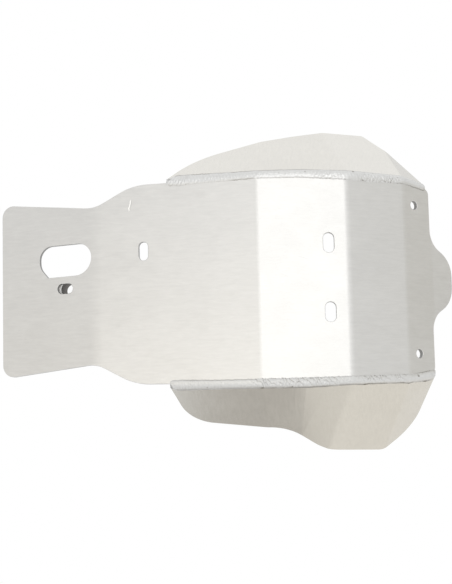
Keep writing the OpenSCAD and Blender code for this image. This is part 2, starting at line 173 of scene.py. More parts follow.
# Half of the outline seen from above, [x, y, radius]
SIDE = np.array([
    [TAIL_FOOT[0] - TAIL_LEN * math.cos(math.radians(TAIL_RISE)), 90, 0],
    [TAIL_FOOT[0], 79.5, 30],
    [TAIL_FOOT[0] + 40, 101, 60],
    [fold_middle(1), 103.5, 0],
    [RAMP_FOOT[0] + 43.5 * math.cos(math.radians(RAMP_RISE)), 104, 0],
    [fold_middle(2), 102, 0],
    [fold_middle(3), 100, 0],
    [FRONT_FOOT[0], 94, 0],
])
SIDE_LINE = rounded(np.vstack([SIDE, [[FRONT_FOOT[0], -94, 0], [SIDE[0, 0], -90, 0]]]))[:-2]


def edge_y(x):
    """Half of the plate's width at x, straight between the outline's points."""
    return np.interp(x, SIDE_LINE[:, 0], SIDE_LINE[:, 1])


def on_plate(s, y, depth):
    """A point of the sheet: s along the folded inner face, y across and depth below that face."""
    x, z, rise = np.moveaxis(between(s, RUN, LINE), -1, 0)
    a = np.radians(rise)
    return np.stack([x + depth * np.sin(a), y + 0 * x, z - depth * np.cos(a)], -1)


def plate_normal(s):
    """The inner face's normal at s."""
    a = np.radians(np.interp(s, RUN, LINE[:, 2]))
    return np.stack([-np.sin(a), 0 * a, np.cos(a)], -1)


def at_panel(foot, rise, u):
    """Distance s of a point that lies u along a panel from its foot."""
    return np.interp(foot[0] + np.asarray(u) * math.cos(math.radians(rise)), LINE[:, 0], RUN)


# ---- sheets cut from outlines
EDGE_SPACING = 12.0
FACE, EDGE, CORNER, HOLE_WALL = range(4)  # the sheets' material slots


def resampled(loop):
    """The closed loop with its long sides cut into equal lengths of at most the edge spacing."""
    ahead = np.roll(loop, -1, axis=0)
    n = np.maximum(1, np.ceil(np.hypot(*(ahead - loop).T) / EDGE_SPACING)).astype(int)
    i = np.repeat(np.arange(len(loop)), n)
    k = np.arange(n.sum()) - np.repeat(np.cumsum(n) - n, n)
    return loop[i] + (ahead - loop)[i] * (k / n[i])[:, None]


def signed_area(loop):
    """Half the sum of the cross products of neighbouring points: positive where the loop runs anticlockwise."""
    return 0.5 * np.sum(cross2(loop, np.roll(loop, -1, axis=0)))


def inset(loop, width):
    """The loop moved to its left by the width, on the bisector of each corner."""
    back, ahead = unit(loop - np.roll(loop, 1, axis=0)), unit(np.roll(loop, -1, axis=0) - loop)
    left = np.stack([-(back + ahead)[:, 1], (back + ahead)[:, 0]], -1)
    return loop + left * width * 2 / np.maximum(np.sum(left * left, -1, keepdims=True), 0.6)


def split_at(loop, lines):
    """Adds a point where the loop's first two columns cross a line [x, y, dx, dy], the other columns going along,
    and gives each point's line, or -1."""
    on = np.full(len(loop), -1)
    for number, (x, y, dx, dy) in enumerate(lines):
        side = cross2([dx, dy], loop[:, :2] - [x, y])
        on[(np.abs(side) < TINY) & (on < 0)] = number
        side[np.abs(side) < TINY] = 0
        ahead = np.roll(side, -1)
        cut = np.flatnonzero(side * ahead < 0)
        share = (side[cut] / (side[cut] - ahead[cut]))[:, None]
        new = loop[cut] + (np.roll(loop, -1, axis=0)[cut] - loop[cut]) * share
        loop, on = np.insert(loop, cut + 1, new, axis=0), np.insert(on, cut + 1, number)
    return loop, on


def filled(faces, border, n):
    """True for each triangle inside the outline: those to the left of a border edge, and all that are reached from
    there without crossing one."""
    start, end = faces.ravel(), np.roll(faces, -1, axis=1).ravel()
    owner = np.repeat(np.arange(len(faces)), 3)
    keep = np.zeros(len(faces), bool)
    keep[owner[np.isin(start * n + end, border[:, 0] * n + border[:, 1])]] = True
    low, high = np.minimum(start, end), np.maximum(start, end)
    key = low * n + high
    free = ~np.isin(key, border.min(1) * n + border.max(1))
    order = np.argsort(key[free], kind="stable")
    key, owner = key[free][order], owner[free][order]
    twin = np.flatnonzero(key[1:] == key[:-1])
    a, b = owner[twin], owner[twin + 1]
    count = -1
    while count != keep.sum():
        count = keep.sum()
        keep[a] |= keep[b]
        keep[b] |= keep[a]
    return keep


def cut_sheet(name, outline, holes, lines, place, normal, chamfer, mirror=False):
    """A sheet with chamfered edges. The flat blank is cut along the fold lines into triangles, and place(points,
    line numbers, depth) folds its layers: the faces at depth 0 and at the sheet's thickness, set in by the chamfer,
    and the walls between them. normal(points, line numbers) gives the inner face's normals."""
    lines = np.asarray(lines, float)
    loops, flags, insets = [], [], []
    for loop, turn in [(outline, 1), *[(h, -1) for h in holes]]:
        if signed_area(loop) * turn < 0:
            loop = loop[::-1]
        loop = resampled(loop)
        both, on = split_at(np.hstack([inset(loop, chamfer), loop]), lines)
        insets.append(both[:, :2])
        loops.append(both[:, 2:])
        flags.append(on)
    flat, on = np.concatenate(insets), np.concatenate(flags)
    starts = np.cumsum([0] + [len(q) for q in loops])
    edges = [(a + k, a + (k + 1) % (b - a)) for a, b in zip(starts[:-1], starts[1:]) for k in range(b - a)]
    for number, (x, y, dx, dy) in enumerate(lines):
        held = np.flatnonzero(on == number)
        held = held[np.argsort((flat[held] - [x, y]) @ [dx, dy])]
        edges += [(int(a), int(b)) for a, b in zip(held[:-1], held[1:])]
    verts, _, faces, originals, _, _ = delaunay_2d_cdt([tuple(q) for q in flat], edges, [], 0, 1e-5, True)
    verts, faces = np.array([tuple(v) for v in verts]), np.array(faces)
    number, rank = np.full(len(verts), -1), np.full(len(flat), -1)
    source = np.array([(k, o) for k, group in enumerate(originals) for o in group if o < len(flat)])
    rank[source[:, 1]] = source[:, 0]
    np.maximum.at(number, source[:, 0], on[source[:, 1]])
    border = np.array(edges[: len(flat)])
    faces = faces[filled(faces, rank[border], len(verts))]
    n = len(verts)
    flat_all, ring = np.concatenate(loops), len(flat)
    top, bottom = place(verts, number, 0.0), place(verts, number, SHEET)
    upper, lower = place(flat_all, on, chamfer), place(flat_all, on, SHEET - chamfer)
    points = np.concatenate([top, bottom, upper, lower])
    rim = 2 * n + np.arange(ring)
    walls, kinds = [], []
    for a, b in zip(starts[:-1], starts[1:]):
        k = np.arange(a, b)
        ahead = a + (k + 1 - a) % (b - a)
        for high, low, kind in ((rank, rim, CORNER), (rim, rim + ring, HOLE_WALL if a else EDGE),
                                (rim + ring, n + rank, CORNER)):
            walls.append(np.column_stack([high[k], low[k], low[ahead], high[ahead]]))
            kinds.append(np.full(b - a, kind))
    walls = np.concatenate(walls)
    tris = np.concatenate([faces, faces[:, ::-1] + n])
    if mirror:
        tris, walls = tris[:, ::-1], walls[:, ::-1]
    mesh = bpy.data.meshes.new(name)
    mesh.from_pydata(points * MM, [], [tuple(f) for f in tris] + [tuple(f) for f in walls])
    inner = normal(verts, number)
    face_normals = np.concatenate([inner, -inner])
    corner_normals = np.concatenate([face_normals[tris].reshape(-1, 3), np.zeros((4 * len(walls), 3))])
    uv_face = np.concatenate([verts, verts])[tris].reshape(-1, 2)
    uv_wall = np.concatenate([verts, verts, flat_all, flat_all])[walls].reshape(-1, 2)
    layer = mesh.uv_layers.new(name="blank")
    layer.data.foreach_set("uv", (np.concatenate([uv_face, uv_wall]) * MM).ravel())
    mesh.polygons.foreach_set("material_index", np.concatenate([np.full(len(tris), FACE), *kinds]))
    mesh.polygons.foreach_set("use_smooth", np.ones(len(tris) + len(walls), bool))
    mesh.set_sharp_from_angle(angle=math.radians(25))
    mesh.normals_split_custom_set(corner_normals)
    return mesh


def slot_outline(x, y, length, width, slant=0.0, n=40):
    """A slot with round ends: two half circles half the free length apart, turned by the slant."""
    a = np.radians(np.linspace(-90, 90, n // 2))
    run = (length - width) / 2
    end = np.stack([run + width / 2 * np.cos(a), width / 2 * np.sin(a)], -1)
    loop = np.concatenate([end, -end])
    c, s = heading(slant)
    return np.stack([x + loop[:, 0] * c - loop[:, 1] * s, y + loop[:, 0] * s + loop[:, 1] * c], -1)


def mirrored(half):
    """Corners [x, y, radius], then their mirror images in the centreline in reverse."""
    return [*half, *([x, -y, r] for x, y, r in half[::-1])]


def plate_outline():
    """The blank's outline: the side line, the tail's rounded corners, and the nose's front edge with its lobe."""
    side = rounded([*SIDE[:-1], [FRONT_FOOT[0], 94, 0], [FRONT_FOOT[0], 0, 0], [SIDE[0, 0], 0, 0]])
    side = side[(side[:, 1] > 1) & (side[:, 0] < FRONT_FOOT[0] - 0.1) & (side[:, 0] > SIDE[0, 0] + 0.1)]
    s_side = np.interp(side[:, 0], LINE[:, 0], RUN)
    front = rounded(mirrored([
        [0, 100, 0], [NOSE_LEN / 2, 97, 0], [NOSE_LEN, 94, 7], [NOSE_LEN, 38.5, 24], [NOSE_LEN + 29, 21, 28]]))[1:-1]
    rear = rounded(mirrored([[0, -79.5, 0], [-TAIL_LEN / 2, -84.75, 0], [-TAIL_LEN, -90, 12]]))[1:-1]
    left = np.column_stack([s_side, side[:, 1]])
    return np.concatenate([
        left,
        np.column_stack([at_panel(NOSE_FOOT, NOSE_RISE, front[:, 0]), front[:, 1]]),
        (left * [1, -1])[::-1],
        np.column_stack([at_panel(TAIL_FOOT, TAIL_RISE, rear[:, 0]), rear[:, 1]]),
    ])


def plate_holes():
    """The blank's holes, each in its own panel: nose bolts, ramp slots, floor slot, drain and rear slot."""
    nose = at_panel(NOSE_FOOT, NOSE_RISE, 13.5)
    ramp = at_panel(RAMP_FOOT, RAMP_RISE, 70)
    floor = at_panel(TAIL_FOOT, 0, 50.5)
    rear = at_panel(TAIL_FOOT, TAIL_RISE, REAR_SLOT[0])
    drain = rounded([[-28.7, -16.3, 14], [27.9, -16.3, 14], [27.9, 16.2, 18], [-20.2, 16.2, 2], [-28.7, 5.5, 14]])
    c, s = heading(-1.6)
    drain = np.stack([drain[:, 0] * c - drain[:, 1] * s - 31.5, drain[:, 0] * s + drain[:, 1] * c - 27.8], -1)
    return [
        *[slot_outline(nose, y, 9.0, 9.0 - 1e-3) for y in (76, -76)],
        *[slot_outline(ramp, y, 20, 11, 90) for y in (34.75, -34.75)],
        slot_outline(floor, -33, 19, 9.6, 90),
        np.column_stack([at_panel(TAIL_FOOT, TAIL_RISE, drain[:, 0]), drain[:, 1]]),
        slot_outline(rear, REAR_SLOT[1], 17, 10.3),
    ]


# ---- the seams and the wings
def seam_places():
    """The left seam's points on the plate's inner edge, the rise ahead of each and the wing fold's lean there."""
    places = [(TAIL_FOOT[0] + WING_START, 0.0, 0.0)]

    def fold(i, lean):
        _, before, after, _ = FOLDS[i]
        for k, q in enumerate(fold_arc(*FOLDS[i])):
            ahead = before + (after - before) * min(1, (k + 0.5) / FOLD_STEPS)
            places.append((q[0], ahead, lean if k == 0 else None))

    fold(1, 0.0)
    places.append((SIDE[4, 0], RAMP_RISE, FOLD_LEANS["ramp"]))
    fold(2, FOLD_LEANS["riser"])
    fold(3, FOLD_LEANS["nose"])
    places.append((FRONT_FOOT[0], NOSE_RISE, None))
    x = np.array([p[0] for p in places])
    points = np.stack([x, edge_y(x) + ROOT_GAP, np.interp(x, COARSE[:, 0], COARSE[:, 1])], -1)
    return points, np.array([p[1] for p in places]), [p[2] for p in places]


SEAM, SEAM_RISE, SEAM_LEAN = seam_places()
SEAM_STEP = np.diff(SEAM, axis=0)
SEAM_RUN = np.linalg.norm(SEAM_STEP, axis=1)
SEAM_DIR = unit(SEAM_STEP)
SEAM_T = running(SEAM_RUN)
LAST = len(SEAM_RUN) - 1
RAMP_I, WIDE_I, RISER_I = FOLD_STEPS + 1, FOLD_STEPS + 2, 2 * FOLD_STEPS + 3
# The first and the last fold line of each bend of the wing that is made of several
BENDS = ((1, 5), (7, 11), (12, 16))


def wing_facets():
    """The left wing's flat stretches between its fold lines, from the rear: the axes along the seam, up the wing and
    to its inner side, and on the blank the stretch's heading, its start and its rear fold's direction. Each stretch
    turns about its rear fold line until its foot lies on the seam."""
    up = np.array([0, math.sin(math.radians(WING_FLARE)), math.cos(math.radians(WING_FLARE))])
    z = unit(np.cross(SEAM_DIR[0], up))
    out = [(SEAM_DIR[0], np.cross(z, SEAM_DIR[0]), z, 0.0, np.zeros(2), 90.0)]
    for i in range(1, LAST + 1):
        e, y, _, flat, start, rear = out[-1]
        turn = rear if SEAM_LEAN[i] is None else flat + 90 + SEAM_LEAN[i]
        a = math.radians(turn - flat)
        d = math.cos(a) * e + math.sin(a) * y
        e2 = SEAM_DIR[i]
        z2 = unit(np.cross(e2, d))
        out.append((e2, np.cross(z2, e2), z2, turn - math.degrees(math.acos(d @ e2)),
                    start + SEAM_RUN[i - 1] * heading(flat), turn))
    return [np.array([f[k] for f in out]) for k in range(6)]


F_ALONG, F_UP, F_IN, F_HEADING, F_START, F_REAR = wing_facets()
WING_LINES = np.column_stack([F_START[1:], heading(F_REAR[1:])])


def wing_corner(i, along, up, r):
    """A corner of the blank, given along the seam and up from it on stretch i."""
    return [*(F_START[i] + along * heading(F_HEADING[i]) + up * heading(F_HEADING[i] + 90)), r]


# A wing's free corners from the front, each [stretch, distance along it, height above it, radius]
WING_CORNERS = {
    "left": ((LAST, SEAM_RUN[LAST] + 1, 5, 0), (LAST, 42, 74, 50), (RISER_I, 65.5, 104, 12), (WIDE_I, 20, 96, 75),
             (RAMP_I, 27, 60, 50), (0, 13, 49.5, 36)),
    "right": ((RISER_I, 49.8, 90, 4), (0, 23, 36.5, 100)),
}


def wing_blank(side):
    """The blank's outline: the foot along the seam, then the free edge from the front to the rear."""
    end = F_START[LAST] + (SEAM_RUN[LAST] - TOE_IN[side]) * heading(F_HEADING[LAST])
    edge = rounded([[*end, 0], *[wing_corner(*c) for c in WING_CORNERS[side]], [0, 0, 0]], 2.5)[1:-1]
    return np.concatenate([F_START, [end], edge])


def wing_stretch(points, line):
    """The stretch that each point of the blank lies on, which is the last one whose fold line it is ahead of, and the
    normal there: on a fold line, the mean of both stretches' normals."""
    side = cross2(WING_LINES[None, :, 2:], points[:, None] - WING_LINES[None, :, :2])
    ahead = np.where(side < -TINY, np.arange(1, LAST + 1), 0).max(1)
    i = np.where(line >= 0, line + 1, ahead)
    return i, unit(F_IN[i] + F_IN[np.where(line >= 0, i - 1, i)])


def on_wing(mirror):
    """Two functions for one wing: place, which folds points of the blank, and normal. A point on a fold line moves
    along the mean normal, so that both layers meet there."""
    flip = np.array([1, -1 if mirror else 1, 1])

    def place(points, line, depth):
        """Start of the stretch, plus the point's parts along and up the blank on the folded stretch's axes, minus
        the normal times the depth, which is measured square to the sheet."""
        i, z = wing_stretch(points, line)
        r = points - F_START[i]
        h = heading(F_HEADING[i])
        along, up = np.sum(r * h, -1), cross2(h, r)
        p = SEAM[i] + F_ALONG[i] * along[:, None] + F_UP[i] * up[:, None]
        return (p - z * depth / np.sum(z * F_IN[i], -1, keepdims=True)) * flip

    def normal(points, line):
        """The stretch's normal, the mean of two inside a bend, and the flat side's own at a bend's ends."""
        _, z = wing_stretch(points, line)
        for rear, front in BENDS:
            z[line + 1 == rear] = F_IN[rear - 1]
            z[line + 1 == front] = F_IN[front]
        return z * flip

    return place, normal


# ---- weld beads
# The sections' turn at a corner is spread over this length on both sides; shorter stretches count at their middle
BLEND_LEN, LONG_STRETCH = 2.0, 5.0


def wander(x, seed, pitch):
    """A slow wave between about -1 and 1 that doesn't repeat: four sines whose pitches don't divide one another."""
    k = 2 * np.pi * np.asarray(x)[..., None] / (pitch * np.array([1, 0.618, 0.387, 0.241]))
    return (np.sin(k + seed * np.array([1.7, 4.1, 2.9, 5.3])) * [0.42, 0.3, 0.18, 0.1]).sum(-1)


def smooth_frame(values, t):
    """Unit vectors at distance t along the seam, one for each stretch, blended near each corner."""
    knots, rows = [], []
    for i in range(LAST + 1):
        if SEAM_RUN[i] > LONG_STRETCH:
            knots += [SEAM_T[i] + BLEND_LEN, SEAM_T[i + 1] - BLEND_LEN]
            rows += [values[i], values[i]]
        else:
            knots.append((SEAM_T[i] + SEAM_T[i + 1]) / 2)
            rows.append(values[i])
    return unit(between(t, knots, rows))


# Along each seam: [distance, reach onto the plate, reach onto the wing, depth of the ripples, soot and painted
# shade on the plate's toe, soot and painted shade on the wing's toe], the first three in mm
BEADS = {
    "left": [
        [0, 3.4, 4.2, 0.6, 0.1, 0.0], [4, 3.6, 4.2, 0.5, 0.3, 0.25], [12, 3.9, 4.2, 0.4, 0.5, 0.3],
        [45, 3.4, 3.0, 0.3, 0.6, 0.3], [82, 3.7, 2.7, 0.5, 0.5, 0.35], [90, 4.1, 2.6, 1.2, 0.1, 0.4],
        [92, 4.2, 2.6, 1.5, 0.1, 1.0], [94, 4.2, 2.6, 1.6, 0.1, 0.5], [135, 4.8, 2.6, 1.6, 0.15, 0.55],
        [152, 4.2, 2.7, 1.2, 0.2, 0.6], [180, 3.4, 2.4, 0.8, 0.2, 0.5], [191, 3.3, 3.0, 0.9, 0.3, 0.6],
        [194, 3.3, 3.2, 1.0, 0.2, 1.0], [198, 3.3, 2.5, 1.2, 0.2, 0.7], [235, 3.2, 2.7, 1.2, 0.2, 0.7],
        [243, 3.2, 3.6, 0.7, 0.3, 1.0], [250, 3.0, 3.4, 0.4, 0.8, 0.5], [262, 2.8, 5.4, 0.4, 0.8, 0.6],
        [265, 2.8, 6.0, 0.4, 0.7, 1.0], [275, 2.8, 6.4, 0.5, 0.6, 0.6]],
    "right": [
        [0, 3.2, 6.2, 0.9, 0.0, 0.0], [5, 3.6, 6.5, 1.0, 0.05, 0.4], [14, 4.2, 7.0, 0.9, 0.1, 0.7],
        [24, 3.6, 6.5, 0.6, 0.05, 0.6], [40, 3.2, 5.8, 0.5, 0.0, 0.6], [62, 3.0, 4.9, 0.5, 0.1, 0.5],
        [68, 3.0, 4.7, 0.6, 0.9, 0.7], [84, 2.8, 4.5, 0.5, 0.8, 0.5], [90, 2.7, 4.4, 0.6, 0.2, 0.45],
        [130, 3.0, 4.2, 0.7, 0.3, 0.45], [165, 3.8, 4.3, 0.8, 0.3, 0.35], [188, 4.4, 4.6, 0.6, 0.1, 0.3],
        [205, 4.3, 4.6, 1.1, 0.05, 0.2], [232, 3.6, 4.2, 1.2, 0.1, 0.15], [243, 3.2, 3.9, 0.4, 0.6, 0.1],
        [275, 2.8, 3.4, 0.4, 0.8, 0.1]],
}
# How much later than on the plate a bead starts on the wing, in mm
END_LEAN = {"left": 3.0, "right": 6.5}
BEAD_SEED = {"left": 2.0, "right": 5.0}
RING_SPACING, RING_POINTS = 0.4, 21
# A bead's ends run out over this length in mm, to this share of its size
END_LEN, END_SIZE = 4.5, 0.45


def bead_surface(sizes, side):
    """A weld bead as a section carried along the seam. The section is the chord from the toe on the plate to the toe
    on the wing, plus an arch (4 q (1 - q)) ^ 0.7 that is high enough to clear the seam's corner and stand the bulge
    above it; its root lies in the joint. Each ripple is a shallow scale on the plate's side that runs back towards
    its toe, with low lumps over the crown, and toes, height and ripple pitch wander along the seam. At the rear the
    bead starts later on the wing. Returns the surface, and its marks: grooves between ripples, where the weld metal
    paints shade, and soot with painted shade on the toes."""
    seed, length = BEAD_SEED[side], SEAM_RUN.sum() - TOE_IN[side]
    t = np.linspace(0, length, int(length / RING_SPACING))
    base = between(t, SEAM_T, SEAM)
    a = np.radians(SEAM_RISE[:-1])
    down_i = np.stack([np.sin(a), 0 * a, -np.cos(a)], -1)
    out_i = np.cross(SEAM_DIR, down_i)
    down, out = smooth_frame(down_i, t), smooth_frame(out_i, t)
    off, up = smooth_frame(-F_IN, t), smooth_frame(F_UP, t)
    proud = unit(down + off)
    table = np.array(BEADS[side])
    on_sheet, on_side, depth, toe_soot_shade_sheet, toe_soot_shade_side = between(t, table[:, 0], table[:, 1:]).T

    end = np.clip(np.minimum(t, length - t) / END_LEN, 0, 1)
    size = (END_SIZE + (1 - END_SIZE) * np.sqrt(1 - (1 - end) ** 2)) * sizes.bead_width
    q, along = np.linspace(0, 1, RING_POINTS)[None, :], t[:, None]
    pitch = sizes.ripple_pitch
    lead = (t + 0.9 * pitch * wander(t, seed, 27.0))[:, None]
    phase = (lead + 7.0 * (1 - q) ** 2 + 0.5 * wander(along + 9 * q, seed + 3, 5.0)) / pitch
    saw = phase - np.floor(phase)
    scale = np.sqrt(np.clip(1 - (1.55 * saw - 0.55) ** 2, 0, 1)) - 0.78
    strength = (depth * (0.85 + 0.5 * wander(t, seed + 1, 61.0) + 0.3 * wander(t, seed + 5, 9.0)))[:, None]
    ripple = sizes.ripple_height * strength * scale * (0.2 + 0.8 * np.sin(np.pi * q ** 0.7)) * (1 - 0.7 * q)
    ripple = ripple + 0.22 * np.sin(np.pi * q) * wander(along * 1.3 + 6 * q, seed + 9, 4.3)

    toe_plate = on_sheet * size * (1 + 0.09 * wander(t, seed + 2, 11.0) + 0.10 * wander(t, seed + 7, 3.3))
    toe_wing = on_side * size * (1 + 0.08 * wander(t, seed + 4, 13.0) + 0.08 * wander(t, seed + 8, 3.1))
    plate_toe = -(ROOT_GAP + toe_plate[:, None]) * out + (SHEET + TOE_GAP) * down
    wing_toe = (SHEET + TOE_GAP) * off + toe_wing[:, None] * up
    bulge = sizes.bead_bulge * size * (1 + 0.08 * wander(t, seed + 6, 23.0))
    crown = proud * (bulge + 0.84 * toe_plate * toe_wing / (toe_plate + toe_wing))[:, None]
    lean = END_LEAN[side] * np.exp(-((along / 9) ** 2)) * q
    q3 = q[..., None]
    section = plate_toe[:, None] + (wing_toe - plate_toe)[:, None] * q3 + crown[:, None] * (4 * q3 * (1 - q3)) ** 0.7
    section = section + proud[:, None] * ripple[..., None] + lean[..., None] * SEAM_DIR[0]
    root = np.stack([
        (SHEET + BEAD_GAP) * off - BEAD_GAP * up,
        (BEAD_GAP - ROOT_GAP) * out + down,
        (BEAD_GAP - ROOT_GAP) * out + (SHEET + BEAD_GAP) * down], 1)
    mirror = side == "right"
    rings = (base[:, None] + np.concatenate([section, root], 1)) * [1, -1 if mirror else 1, 1]

    # The grooves between ripples: the weld metal paints shade in them and dips its bump there.
    groove = np.exp(-((saw - 0.04) / 0.12) ** 2) * np.clip(strength - 0.3, 0, 1) * (1 - q) ** 2.5
    # Soot and painted shade along the toe on the plate and the toe on the wing.
    toe = toe_soot_shade_sheet[:, None] * np.clip(1.1 - q / 0.09, 0, 1) + toe_soot_shade_side[:, None] * np.clip((q - 0.74) / 0.16, 0, 1)
    clean_root = np.zeros(root.shape[:2])
    marks = {key: np.concatenate([mark, clean_root], 1) for key, mark in (("groove", groove), ("toe", toe))}
    return tube(rings, mirror), marks


def grid_quads(m, n, wraps=False):
    """The quads of m rows of n points whose rows close on themselves; wraps also joins the last row to the first."""
    j, k = np.meshgrid(np.arange(m if wraps else m - 1), np.arange(n), indexing="ij")
    row, after, ahead = j * n, (j + 1) % m * n, (k + 1) % n
    return np.stack([row + k, row + ahead, after + ahead, after + k], -1).reshape(-1, 4)


def tube(rings, mirror):
    """Vertices and faces of closed sections joined in a row, with a cap on each end."""
    m, n = rings.shape[:2]
    quads = grid_quads(m, n)
    caps = [tuple(range(n))[::-1], tuple((m - 1) * n + np.arange(n))]
    if mirror:
        quads = quads[:, ::-1]
        caps = [c[::-1] for c in caps]
    return rings.reshape(-1, 3), [*quads, *caps]


def turned_surface(profile, n, ripple=None):
    """A closed profile [radius, height] carried once round the third axis: radius times cosine and sine, height."""
    a = np.linspace(0, 2 * np.pi, n, endpoint=False)[:, None]
    r, z = (np.tile(column, (n, 1)) for column in np.transpose(profile).astype(float))
    if ripple is not None:
        r, z = ripple(a, r, z)
    points = np.stack([r * np.cos(a), r * np.sin(a), z], -1)
    return points.reshape(-1, 3), grid_quads(n, len(profile), True)[:, [0, 3, 2, 1]]


def on_tail(points):
    """Points given square to the tail's inner face, about the rear bolt slot, put in place."""
    a = math.radians(TAIL_RISE)
    along = points[:, 0] + REAR_SLOT[0]
    x = TAIL_FOOT[0] + along * math.cos(a) - points[:, 2] * math.sin(a)
    return np.stack([x, points[:, 1] + REAR_SLOT[1], along * math.sin(a) + points[:, 2] * math.cos(a)], -1)


# ---- materials
class Value:
    """A number in a node tree. Sums, differences and products of values add the tree's Math nodes."""

    def __init__(self, paint, socket):
        self.paint, self.socket = paint, socket

    def _math(self, operation, *values):
        return self.paint.node("Math", *values, setting={"operation": operation})

    def __add__(self, o): return self._math("ADD", self, o)
    def __radd__(self, o): return self._math("ADD", o, self)
    def __sub__(self, o): return self._math("SUBTRACT", self, o)
    def __rsub__(self, o): return self._math("SUBTRACT", o, self)
    def __mul__(self, o): return self._math("MULTIPLY", self, o)
    def __rmul__(self, o): return self._math("MULTIPLY", o, self)
    def __abs__(self): return self._math("ABSOLUTE", self)
    def least(self, o): return self._math("MINIMUM", self, o)
    def most(self, o): return self._math("MAXIMUM", self, o)

    def ramp(self, low, high, to_low=0.0, to_high=1.0):
        """Smooth step from to_low at low to to_high at high."""
        smooth = {"interpolation_type": "SMOOTHSTEP"}
        return self.paint.node("MapRange", self, low, high, to_low, to_high, setting=smooth)


class Paint:
    """The node tree of one new material, or of a new world."""

    def __init__(self, name, kind="materials"):
        self.owner = getattr(bpy.data, kind).new(name)
        self.owner.use_nodes = True
        self.tree = self.owner.node_tree
        self.tree.nodes.clear()

    def node(self, kind, *inputs, out=0, setting={}, **named):
        """Adds a node, sets it, fills its inputs in order or by name, and returns the output."""
        node = self.tree.nodes.new("ShaderNode" + kind)
        for key, value in setting.items():
            setattr(node, key, value)
        for key, value in [*enumerate(inputs), *named.items()]:
            if value is None:
                continue
            socket = node.inputs[key if isinstance(key, int) else key.replace("_", " ")]
            if isinstance(value, Value):
                self.tree.links.new(value.socket, socket)
            else:
                socket.default_value = value
        return Value(self, node.outputs[out]) if node.outputs else None

    def mix(self, share, a, b):
        """The painted colour a at share 0, the plain colour b at share 1."""
        return self.node("Mix", share, *[None] * 5, a, (*b, 1), out=2, setting={"data_type": "RGBA"})

    def tint(self, colour, factor):
        """The colour times the factor, by a vector product."""
        grey = self.node("CombineXYZ", factor, factor, factor)
        return self.node("VectorMath", colour, grey, setting={"operation": "MULTIPLY"})

    def blank(self, u, v, offset=(0, 0, 0)):
        """The blank's flat coordinates, times u and v, in 1/m."""
        uv = self.node("UVMap", setting={"uv_map": "blank"})
        return self.node("Mapping", uv, offset, (0, 0, 0), (u, v, 1))

    def place(self, *scale):
        """The piece's own coordinates, times one or three scales, in 1/m."""
        at = self.node("TexCoord", out="Object")
        return self.node("Mapping", at, (0, 0, 0), (0, 0, 0), (scale * 3)[:3])

    def noise(self, at, detail=2.0, roughness=0.6, distortion=0.0):
        """Fractal noise between 0 and 1, about one patch for each unit of the place."""
        return self.node("TexNoise", at, None, 1.0, detail, roughness, Distortion=distortion)

    def bump(self, height, distance, strength):
        """A bump of that height field, distance in metres for a height of 1."""
        return self.node("Bump", strength, distance, Height=height)

    def metal(self, colour, roughness, normal):
        """Ends the tree with bare metal and gives the material."""
        shader = self.node("BsdfPrincipled", Base_Color=colour, Metallic=1.0, Roughness=roughness, Normal=normal)
        self.node("OutputMaterial", shader)
        return self.owner


def sheet_metal(name, look, seed, warm, dull=0.0, grain=(60, 380), depth=1.0, marks=()):
    """Mill-finish sheet: short wavy rolling lines along the blank, cloudy handling haze, fine pits, and marks. A mark
    is [x, y, half length, half width, lean, gain] on the blank in mm: a thin stripe that lightens or darkens. The
    marks are rubs and smudges, and a scratch's painted highlight with painted shade beside it."""
    p = Paint(name)
    short = p.noise(p.blank(*grain, (seed, seed, 0)), 3.0, 0.55, 0.5)
    fine = p.noise(p.blank(grain[0] * 3, grain[1] * 3, (seed + 3, seed, 0)), 2.0, 0.6, 0.3)
    haze = p.noise(p.blank(16, 26, (seed, seed + 5, 0)), 4.0, 0.6, 0.6)
    pits = p.noise(p.blank(520, 520), roughness=0.5)
    streaks = look.streaks * depth
    shade = 1.0 + (short - 0.5) * streaks + (fine - 0.5) * streaks * 0.5 + (haze - 0.5) * look.haze
    uv = p.node("UVMap", setting={"uv_map": "blank"})
    u, v = (p.node("SeparateXYZ", uv, out=k) * 1000.0 for k in (0, 1))
    # rub sums the marks, a scratch's painted highlight and painted shade among them.
    rub = 0.0
    for x, y, long, wide, lean, gain in marks:
        across = abs(u - x - (v - y) * lean + (short - 0.5) * wide * 3.0)
        rub = rub + (1 - across.ramp(wide * 0.3, wide)) * (1 - abs(v - y).ramp(long * 0.6, long)) * gain
    base = tuple(c * w for c, w in zip(look.sheet_colour, warm))
    colour = p.tint(base, (shade + rub).most(0.1))
    rough = (look.sheet_roughness + dull + (short - 0.5) * 0.14 * depth + (haze - 0.5) * 0.12).most(0.12).least(0.8)
    height = short * 0.5 + fine * 0.3 + pits * 0.3
    return p.metal(colour, rough, p.bump(height, 0.00003, 0.4))


def cut_edge(name, look, shade=1.0):
    """Cut edge: short lines across the thickness on a duller face. A shade below 1 darkens its colour, which paints
    shade.
    """
    p = Paint(name)
    lines = p.noise(p.blank(900, 900))
    colour = p.tint(tuple(shade * c for c in look.edge_colour), 0.92 + lines * 0.16)
    return p.metal(colour, 0.42 + lines * 0.2, p.bump(lines, 0.00006, 0.6))


def rubbed_edge(name, look):
    """The broken corner of an edge: worn brighter and smoother than the sheet, in patches."""
    p = Paint(name)
    wear = p.noise(p.blank(60, 60), 4.0, 0.65).ramp(0.4, 0.62)
    nicks = p.noise(p.blank(500, 500))
    base = tuple(min(1.0, 1.12 * c) for c in look.sheet_colour)
    colour = p.tint(base, 0.86 + wear * 0.14 + (nicks - 0.5) * 0.1)
    return p.metal(colour, 0.42 - wear * 0.14, p.bump(nicks, 0.00004, 0.5))


